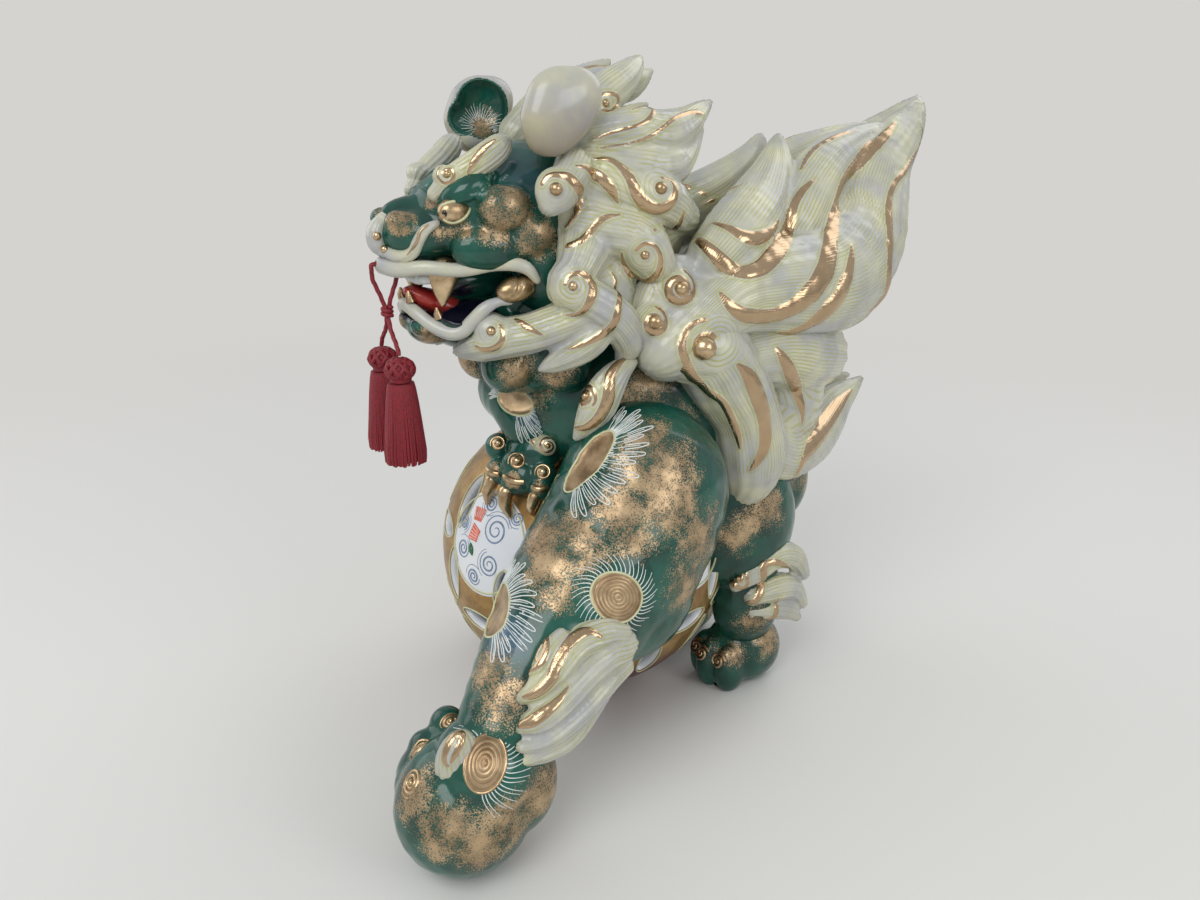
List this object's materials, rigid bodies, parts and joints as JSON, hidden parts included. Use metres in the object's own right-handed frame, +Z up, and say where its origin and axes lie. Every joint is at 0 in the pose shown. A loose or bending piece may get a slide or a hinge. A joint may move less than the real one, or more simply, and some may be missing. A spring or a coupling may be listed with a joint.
{
  "type": "guardian lion figure",
  "caption": "Porcelain guardian lion resting a raised paw on an openwork ball, with flame tail and mane, and silk tassels hanging on a cord through its lip.",
  "frame": {"origin": "middle of the footprint of the fired pieces, on the floor plane", "axes": "-Y the way the lion faces, +X its own left, +Z up"},
  "size_m": [0.2016, 0.3292, 0.3045],
  "materials": {
    "cord_bight": "twisted crimson silk",
    "cord_knot": "twisted crimson silk",
    "near_cord": "twisted crimson silk",
    "near_tassel_head": "twisted crimson silk",
    "near_tassel_skirt": "twisted crimson silk",
    "far_cord": "twisted crimson silk",
    "far_tassel_head": "twisted crimson silk",
    "far_tassel_skirt": "twisted crimson silk",
    "ball": "white glaze with gold lattice and blue scrolls",
    "left_eye": "fired bright gold over glaze",
    "right_eye": "fired bright gold over glaze",
    "nose_scroll": "cream glaze with fine yellow-green hair lines and gold strips",
    "left_fang": "fired bright gold over glaze",
    "right_fang": "fired bright gold over glaze",
    "front_teeth": "white glaze with gold lattice and blue scrolls",
    "tongue": "iron-red glaze",
    "left_mouth_corner": "fired bright gold over glaze",
    "right_mouth_corner": "fired bright gold over glaze",
    "upper_lip": "cream glaze with fine yellow-green hair lines and gold strips",
    "lower_lip": "cream glaze with fine yellow-green hair lines and gold strips",
    "left_brow": "cream glaze with fine yellow-green hair lines and gold strips",
    "right_brow": "cream glaze with fine yellow-green hair lines and gold strips",
    "left_ear": "cream glaze with fine yellow-green hair lines and gold strips",
    "right_ear": "cream glaze with fine yellow-green hair lines and gold strips",
    "right_claw_inner": "fired bright gold over glaze",
    "right_claw_middle": "fired bright gold over glaze",
    "right_claw_outer": "fired bright gold over glaze",
    "left_chest_tuft": "cream glaze with fine yellow-green hair lines and gold strips",
    "right_chest_tuft": "cream glaze with fine yellow-green hair lines and gold strips",
    "left_elbow_tuft": "cream glaze with fine yellow-green hair lines and gold strips",
    "left_paw_tuft": "cream glaze with fine yellow-green hair lines and gold strips",
    "left_hind_tuft": "cream glaze with fine yellow-green hair lines and gold strips",
    "right_hind_tuft": "cream glaze with fine yellow-green hair lines and gold strips",
    "right_wrist_tuft": "cream glaze with fine yellow-green hair lines and gold strips",
    "tail_plume": "cream glaze with fine yellow-green hair lines and gold strips",
    "tail_middle_plume": "cream glaze with fine yellow-green hair lines and gold strips",
    "tail_lower_plume": "cream glaze with fine yellow-green hair lines and gold strips",
    "left_mane": "cream glaze with fine yellow-green hair lines and gold strips",
    "right_mane": "cream glaze with fine yellow-green hair lines and gold strips",
    "mane_crest": "cream glaze with fine yellow-green hair lines and gold strips",
    "cranium": "deep green overglaze with sponged gold",
    "lower_jaw": "deep green overglaze with sponged gold",
    "throat": "deep green overglaze with sponged gold",
    "right_forepaw": "deep green overglaze with sponged gold",
    "right_foreleg": "deep green overglaze with sponged gold",
    "left_forefoot": "deep green overglaze with sponged gold",
    "left_foreleg": "deep green overglaze with sponged gold",
    "left_hind_foot": "deep green overglaze with sponged gold",
    "right_hind_foot": "deep green overglaze with sponged gold",
    "left_hind_leg": "deep green overglaze with sponged gold",
    "right_hind_leg": "deep green overglaze with sponged gold",
    "trunk": "deep green overglaze with sponged gold"
  },
  "bodies": {
    "lion": {"ball": "ball", "left_eye": "left_eye", "right_eye": "right_eye", "nose_scroll": "nose_scroll", "left_fang": "left_fang", "right_fang": "right_fang", "front_teeth": "front_teeth", "tongue": "tongue", "left_mouth_corner": "left_mouth_corner", "right_mouth_corner": "right_mouth_corner", "upper_lip": "upper_lip", "lower_lip": "lower_lip", "left_brow": "left_brow", "right_brow": "right_brow", "left_ear": "left_ear", "right_ear": "right_ear", "right_claw_inner": "right_claw_inner", "right_claw_middle": "right_claw_middle", "right_claw_outer": "right_claw_outer", "left_chest_tuft": "left_chest_tuft", "right_chest_tuft": "right_chest_tuft", "left_elbow_tuft": "left_elbow_tuft", "left_paw_tuft": "left_paw_tuft", "left_hind_tuft": "left_hind_tuft", "right_hind_tuft": "right_hind_tuft", "right_wrist_tuft": "right_wrist_tuft", "tail_plume": "tail_plume", "tail_middle_plume": "tail_middle_plume", "tail_lower_plume": "tail_lower_plume", "left_mane": "left_mane", "right_mane": "right_mane", "mane_crest": "mane_crest", "cranium": "cranium", "lower_jaw": "lower_jaw", "throat": "throat", "right_forepaw": "right_forepaw", "right_foreleg": "right_foreleg", "left_forefoot": "left_forefoot", "left_foreleg": "left_foreleg", "left_hind_foot": "left_hind_foot", "right_hind_foot": "right_hind_foot", "left_hind_leg": "left_hind_leg", "right_hind_leg": "right_hind_leg", "trunk": "trunk"},
    "bight": {"cord_bight": "cord_bight"},
    "strands": {"cord_knot": "cord_knot", "near_cord": "near_cord", "far_cord": "far_cord"},
    "near_tassel": {"near_tassel_head": "near_tassel_head", "near_tassel_skirt": "near_tassel_skirt"},
    "far_tassel": {"far_tassel_head": "far_tassel_head", "far_tassel_skirt": "far_tassel_skirt"}
  },
  "joints": [
    {"name": "bight_sway", "type": "hinge", "parent": "lion", "child": "bight", "pos_m": [-0.00629, -0.12791, 0.2258], "axis": [0, 1, 0], "range_deg": [-25, 25]},
    {"name": "strands_swing", "type": "hinge", "parent": "bight", "child": "strands", "pos_m": [-0.00629, -0.12791, 0.21], "axis": [1, 0, 0], "range_deg": [-30, 8]},
    {"name": "near_tassel_swing", "type": "hinge", "parent": "strands", "child": "near_tassel", "pos_m": [0.00491, -0.12791, 0.1898], "axis": [1, 0, 0], "range_deg": [-20, 8]},
    {"name": "far_tassel_swing", "type": "hinge", "parent": "strands", "child": "far_tassel", "pos_m": [-0.01749, -0.12791, 0.1898], "axis": [1, 0, 0], "range_deg": [-20, 8]}
  ]
}
